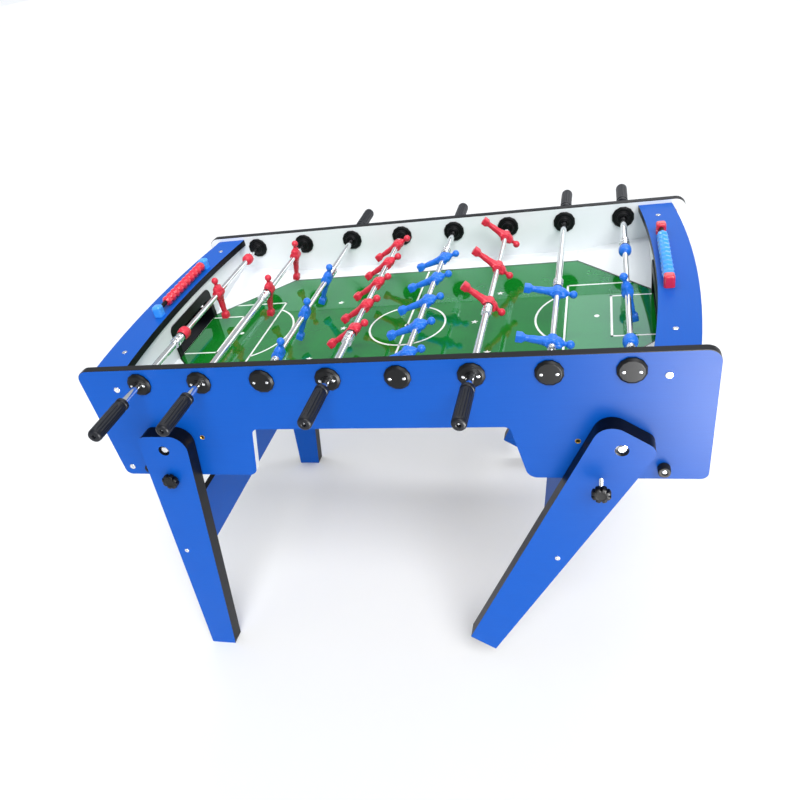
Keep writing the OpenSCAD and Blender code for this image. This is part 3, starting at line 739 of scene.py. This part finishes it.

# Grips: black moulded handles, ribbed along their length, with a collar in front and a screw in the end.
# The soft-touch surface is matt, its gloss varying a little at random.
grip_finish, tree, shader = new_finish("black_grip", "#080b14", Roughness=0.42, Specular_IOR_Level=0.3)
grain(tree, shader, (0.0015, 0.0015, 0.0015), ("#060911", "#0c101b"), (0.34, 0.5), 0.00015)


def fluted(levels, grooves, sides):
    """Rings of (y, radius, groove depth), with grooves round them, skinned into a closed form."""
    built = bmesh.new()
    rings = []
    for y, radius, depth in levels:
        ring = []
        for i in range(sides):
            a = 2 * math.pi * i / sides
            r = radius - depth * max(0.0, math.cos(grooves * a)) ** 2
            ring.append(built.verts.new((r * math.sin(a), y, r * math.cos(a))))
        rings.append(ring)
    for one, two in zip(rings, rings[1:]):
        for i in range(sides):
            j = (i + 1) % sides
            built.faces.new((one[i], one[j], two[j], two[i]))
    built.faces.new(rings[0][::-1])
    built.faces.new(rings[-1])
    return built


def grip_shape(length, radius):
    """A grip from y = 0 at its collar to y = -length at its end, sunk there for its screw."""
    neck, flute, flutes = radius - 0.0025, 0.0013, 12
    collar = [(0, radius - 0.004, 0), (0.0006, radius - 0.0016, 0), (0.0022, radius, 0),
              (0.0085, radius, 0), (0.010, radius - 0.001, 0), (0.0108, neck, 0), (0.0152, neck, 0),
              (0.016, radius - 0.0012, 0), (0.0175, radius, 0), (0.020, radius, 0)]
    ribs = [(0.023, radius, flute * 0.5), (0.027, radius, flute), (length - 0.015, radius, flute),
            (length - 0.0105, radius, flute * 0.5), (length - 0.008, radius, 0)]
    end = [(length - 0.0045, radius - 0.0004, 0), (length - 0.002, radius - 0.0016, 0),
           (length - 0.0005, radius - 0.0036, 0), (length, radius - 0.006, 0), (length, 0.0056, 0),
           (length - 0.0006, 0.0048, 0), (length - 0.007, 0.0045, 0)]
    return fluted([(-y, r, depth) for y, r, depth in collar + ribs + end], flutes, 96)


def screw_head(radius, height):
    """A pan head screw with a cross slot, its seat at y = 0 and its top towards -Y."""
    head = turned([(0, 0), (radius, 0), (radius, -height * 0.35), (radius * 0.93, -height * 0.65),
                   (radius * 0.72, -height * 0.88), (radius * 0.4, -height * 0.98), (0, -height)], 24)
    mesh = bpy.data.meshes.new("head")
    bmesh.ops.recalc_face_normals(head, faces=head.faces)
    head.to_mesh(mesh)
    head.free()
    obj = bpy.data.objects.new("head", mesh)
    scene.collection.objects.link(obj)
    cutter = bmesh.new()
    for turn in (0, math.pi / 2):
        bar = bmesh.ops.create_cube(cutter, size=1)["verts"]
        bmesh.ops.scale(cutter, vec=(radius * 1.1, height, radius * 0.24), verts=bar)
        bmesh.ops.translate(cutter, vec=(0, -height * 0.95, 0), verts=bar)
        bmesh.ops.rotate(cutter, cent=(0, 0, 0), matrix=Matrix.Rotation(turn, 3, "Y"), verts=bar)
    return cut_by(obj, cutter)


zinc, tree, shader = new_finish("bright_zinc", "#d9dadb", Metallic=1.0, Roughness=0.25)
grain(tree, shader, (0.002, 0.002, 0.002), ("#cfd0d2", "#e9eaec"), (0.18, 0.34), 0.00004)
unit_height = 0.45
unit_screw = screw_head(1.0, unit_height)


def screw(name, place, outward, radius, height, body):
    """Sets a screw head on a surface, its top along outward."""
    mesh = unit_screw.copy()
    dress(mesh, zinc, 30)
    mesh.transform(Matrix.Diagonal((radius, height / unit_height, radius, 1)))
    aimed = Vector(outward).to_track_quat("-Y", "Z").to_matrix().to_4x4()
    return shown(name, mesh, body, Matrix.Translation(place) @ aimed)


grip_r, screw_depth, screw_r, screw_h = 0.015, 0.0068, 0.0038, 0.002
for k, axle in axles.items():
    way = handle_side[k]
    low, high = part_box(f"grip_{k}")
    front, back = (low.y, high.y) if way > 0 else (high.y, low.y)
    place = Matrix.Translation((axle.x, front, axle.z)) @ side_turn(way)
    handle = piece(f"handle_{k}", placed(grip_shape(high.y - low.y, grip_r), place), grip_finish,
                   f"player_rod_{k}")
    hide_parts(f"grip_{k}")
    seat = Vector((axle.x, back - way * screw_depth, axle.z))
    screw(f"handle_screw_{k}", seat, (0, way, 0), screw_r, screw_h, f"player_rod_{k}")

# Screws of the cabinet: pan heads with a cross slot, in bright zinc, in the places that the frame holds.
for i, (low, high) in enumerate(islands("cabinet_screws")):
    size, middle = high - low, (high + low) / 2
    axis = min(range(3), key=lambda n: size[n])
    outward = Vector((0, 0, 0))
    outward[axis] = 1 if axis == 2 else math.copysign(1, middle[axis])
    seat = middle - outward * size[axis] / 2
    head = screw(f"cabinet_screw_{i + 1}", seat, outward, max(size) / 2, size[axis], "cabinet")
    if i == 0:
        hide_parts("cabinet_screws")

# Legs: four 38 mm boards in two folding pairs, tapered to the foot and rounded at the head.
# Blue melamine on both faces, black tape round the edges.
leg_finish = banded_board("blue_leg_board", (0, 1, 0), (0.05, 0.09, 0.0016))
for side in ("left", "right"):
    pair = piece(f"{side}_leg_boards", eased(f"{side}_legs", 0.0009), leg_finish, f"{side}_leg_pair")
    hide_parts(f"{side}_legs")

# Cross boards: one across each pair of legs, 15 mm thick, screwed through the legs from outside.
# Blue melamine faces; black tape shows on the long edges.
brace_screw_r, brace_screw_h = 0.006, 0.002
for side in ("left", "right"):
    built = eased(f"{side}_cross_board", 0.0007)
    broad = max(built.faces, key=lambda f: f.calc_area()).normal.copy()
    finish = banded_board(f"{side}_blue_cross_board", tuple(broad), (0.0016, 0.09, 0.0016))
    board = piece(f"{side}_brace", built, finish, f"{side}_leg_pair")
    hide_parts(f"{side}_cross_board")
    for low, high in islands(f"{side}_board_screws"):
        way = math.copysign(1, low.y + high.y)
        reach = max(abs(low.y), abs(high.y))
        seat = Vector(((low.x + high.x) / 2, way * (reach - brace_screw_h), (low.z + high.z) / 2))
        end = "far" if way > 0 else "near"
        head = screw(f"{side}_brace_screw_{end}", seat, (0, way, 0), brace_screw_r, brace_screw_h,
                     f"{side}_leg_pair")
        if way < 0:
            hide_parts(f"{side}_board_screws")

# Pivot bolts: an M10 hex bolt with a flanged head in a counterbore, one plain washer and a nut inside.
# Bright zinc plate; the head has a chamfered top, and its flange is turned.
bolt_r, thread_r, washer_r, nut_r = 0.0098, 0.005, 0.014, 0.0086
bolt_sink, washer_t, nut_h = 0.0085, 0.0016, 0.008
top = bolt_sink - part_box("left_legs")[1].y
hex_r = bolt_r * 0.93
for joint in frame["joints"]:
    if not joint["name"].endswith("legs_fold"):
        continue
    for way in (-1, 1):
        head = lathed([(0, top - 0.0058), (0.0072, top - 0.0058), (hex_r, top - 0.0048),
                       (hex_r, top - 0.001), (0, top - 0.001)], 0.0004, 2, 6)
        flange = lathed([(0, top - 0.0016), (bolt_r - 0.001, top - 0.0016), (bolt_r + 0.0026, top - 0.0006),
                         (bolt_r + 0.0026, top), (0, top)], 0.0004, 2, 40)
        shank = lathed([(0, top - 0.001), (thread_r, top - 0.001), (thread_r, -inner + nut_h + 0.003),
                        (0, -inner + nut_h + 0.003)], 0.0008, 2, 32)
        washer = lathed([(0, -outer - washer_t), (washer_r, -outer - washer_t), (washer_r, -outer),
                         (0, -outer)], 0.0004, 2, 40)
        nut = lathed([(0, -inner), (nut_r - 0.0004, -inner), (nut_r, -inner + 0.001),
                      (nut_r, -inner + nut_h - 0.001), (nut_r - 0.001, -inner + nut_h),
                      (0, -inner + nut_h)], 0.0004, 2, 6)
        place = Matrix.Translation(Vector(joint["pos_m"])) @ side_turn(way)
        side = f"{joint['name'].split('_')[0]}_{'far' if way > 0 else 'near'}"
        bolt = piece(f"pivot_bolt_{side}", placed(merged(head, flange, shank, washer, nut), place),
                     zinc, "cabinet")
        if side == "left_near":
            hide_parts("pivot_bolts")

# Locking knobs: eight-lobed star knobs in black ABS on an M8 screw that goes through the leg.
# Screwed home they clamp the leg; the right pair is backed out, so its bright thread shows.
knob_h, hub_h, hub_r, scoop, lobes = 0.018, 0.004, 0.0108, 0.0042, 8
crest_r, root_r, thread_pitch = 0.004, 0.0033, 0.00125
for side in ("left", "right"):
    for end in ("near", "far"):
        low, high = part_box(f"knob_{side}_{end}")
        way = -1 if end == "near" else 1
        top, tip = (low.y, high.y) if way < 0 else (-high.y, -low.y)
        face = top + knob_h
        rim = (high.x - low.x) / 2
        skirt = [(face - hub_h, rim - 0.0035, scoop * 0.7), (face - hub_h - 0.0012, rim - 0.0008, scoop),
                 (face - hub_h - 0.003, rim, scoop), (top + 0.0035, rim, scoop),
                 (top + 0.0014, rim - 0.0012, scoop), (top + 0.0003, rim - 0.0034, scoop * 0.8),
                 (top, rim - 0.0060, scoop * 0.4), (top, 0.0105, 0), (top + 0.0008, 0.0095, 0),
                 (top + 0.0011, 0.004, 0)]
        hub = lathed([(0, face - 0.0005), (hub_r - 0.0008, face - 0.0005), (hub_r, face - hub_h - 0.0015),
                      (0, face - hub_h - 0.0015)], 0.0006, 2, 40)
        place, body = on_axis(low, high, way), f"lock_knob_{side}_{end}"
        star_knob = piece(f"star_knob_{side}_{end}", placed(merged(fluted(skirt, lobes, 96), hub), place),
                          black_abs, body)
        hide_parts(f"knob_{side}_{end}")
        turns = int((tip - face) / thread_pitch) - 1
        crests = [(crest_r if n % 2 else root_r, face - 0.001 + n * thread_pitch / 2)
                  for n in range(2 * turns)]
        thread = turned([(0, face - 0.002)] + crests + [(0.0028, tip - 0.0004), (0, tip)], 32)
        piece(f"lock_screw_{side}_{end}", placed(thread, place), zinc, body)

# Lock inserts: brass bushes pressed into the panels for the locking screws, one for each leg position.
# Turned brass, slightly dulled, with a thin flange that stands proud of the panel.
brass, tree, shader = new_finish("turned_brass", "#c9a24a", Metallic=1.0, Roughness=0.3)
grain(tree, shader, (0.0015, 0.0015, 0.0015), ("#bb9340", "#d8b45e"), (0.22, 0.42), 0.00004)
insert_bore, insert_r = 0.004, 0.006
for i, (low, high) in enumerate(islands("lock_inserts")):
    way = math.copysign(1, low.y + high.y)
    rim, deep = -max(abs(low.y), abs(high.y)), -min(abs(low.y), abs(high.y))
    ring = [(insert_bore, rim + 0.0006), (insert_bore + 0.0006, rim), (insert_r - 0.0002, rim),
            (insert_r, rim + 0.0004), (insert_r, deep), (insert_bore, deep)]
    insert = piece(f"lock_insert_{i + 1}", placed(turned(ring, 40), on_axis(low, high, way)),
                   brass, "cabinet")
    if i == 0:
        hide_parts("lock_inserts")

# Leg stops: rubber buffers screwed to the panels, which the opened legs lean on.
# Moulded with a soft edge and a sunk seat for the screw.
seat_r, seat_depth = 0.0062, 0.004
for i, (low, high) in enumerate(islands("leg_stops")):
    way = math.copysign(1, low.y + high.y)
    front, back, radius = -max(abs(low.y), abs(high.y)), -outer, (high.x - low.x) / 2
    buffer = [(0, front + seat_depth), (seat_r - 0.0007, front + seat_depth), (seat_r, front),
              (radius - 0.0008, front), (radius, front + 0.004), (radius, back - 0.003),
              (radius - 0.0008, back), (0, back)]
    stop = piece(f"leg_stop_{i + 1}", placed(lathed(buffer, 0.0016, 3, 48), on_axis(low, high, way)),
                 rubber, "cabinet")
    if i == 0:
        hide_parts("leg_stops")

# Score counters: ten faceted beads on a black rod over each end board, held between two rounded blocks.
# Beads and blocks are glossy moulded polystyrene: red beads with blue blocks, and the other way about.
def styrene(name, colours):
    """Glossy polystyrene between two close tones."""
    material, tree, shader = new_finish(name, colours[0], Roughness=0.16, Coat_Weight=0.4)
    grain(tree, shader, (0.01, 0.01, 0.01), colours, (0.12, 0.22), 0.00004)
    return material


red_styrene = styrene("red_polystyrene", ("#cf2036", "#de3046"))
sky_styrene = styrene("sky_blue_polystyrene", ("#2f8fee", "#46a2f6"))


def bead(length, radius, bore):
    """A bead with diamond facets: an eight-sided waist, turned half a side against both ends."""
    half, end_r, waist_end = length / 2, radius * 0.66, length * 0.17
    built = turned([(bore, -half), (end_r, -half), (radius, -waist_end), (radius, waist_end),
                    (end_r, half), (bore, half)], 8)
    waist = [v for v in built.verts if abs(v.co.y) < waist_end * 1.1]
    bmesh.ops.rotate(built, cent=(0, 0, 0), matrix=Matrix.Rotation(math.pi / 8, 3, "Y"), verts=waist)
    facets = [f for f in built.faces if 0 < sum(v in waist for v in f.verts) < len(f.verts)]
    bmesh.ops.triangulate(built, faces=facets)
    sharp = [e for e in built.edges if any(v in waist for v in e.verts)]
    bmesh.ops.bevel(built, geom=sharp, offset=0.0003, segments=1, profile=0.5, affect="EDGES")
    return built


def rounded_block(low, high, radius):
    """A block whose sides and top are well rounded, on a flat foot."""
    built = bmesh.new()
    bmesh.ops.create_cube(built, size=1)
    bmesh.ops.scale(built, vec=high - low, verts=built.verts)
    bmesh.ops.translate(built, vec=(low + high) / 2, verts=built.verts)
    foot = [e for e in built.edges if all(v.co.z < low.z + 0.001 for v in e.verts)]
    rest = [e for e in built.edges if e not in foot]
    bmesh.ops.bevel(built, geom=rest, offset=radius, segments=6, profile=0.5, affect="EDGES")
    return built


rod_at_least, block_round, bead_bore = 0.05, 0.0062, 0.0058
stand_rods = [b for b in islands("counter_stands") if (b[1] - b[0]).y > rod_at_least]
stand_blocks = [b for b in islands("counter_stands") if (b[1] - b[0]).y <= rod_at_least]
teams = (("red", red_styrene, "red_plastic"), ("blue", sky_styrene, "light_blue_plastic"))
for team, finish, slot in teams:
    for i, (low, high) in enumerate(islands(f"{team}_counter_beads")):
        one = bead(high.y - low.y, (high.z - low.z) / 2, bead_bore)
        counted = piece(f"{team}_bead_{i + 1}", placed(one, Matrix.Translation((low + high) / 2)),
                        finish, f"{team}_counter", crease=12)
        if i == 0:
            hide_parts(f"{team}_counter_beads")
for i, (low, high) in enumerate(stand_blocks):
    team, finish, slot = teams[1] if low.x < 0 else teams[0]
    block = piece(f"counter_block_{i + 1}", rounded_block(low, high, block_round), finish, "cabinet")
    if i == 0:
        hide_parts("counter_stands")
for i, (low, high) in enumerate(stand_rods):
    radius = (high.x - low.x) / 2
    shaft = lathed([(0, low.y), (radius, low.y), (radius, high.y), (0, high.y)], 0.001, 3, 32)
    piece(f"counter_rod_{i + 1}", placed(shaft, on_axis(low, high, -1)), black_abs, "cabinet")

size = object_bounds()
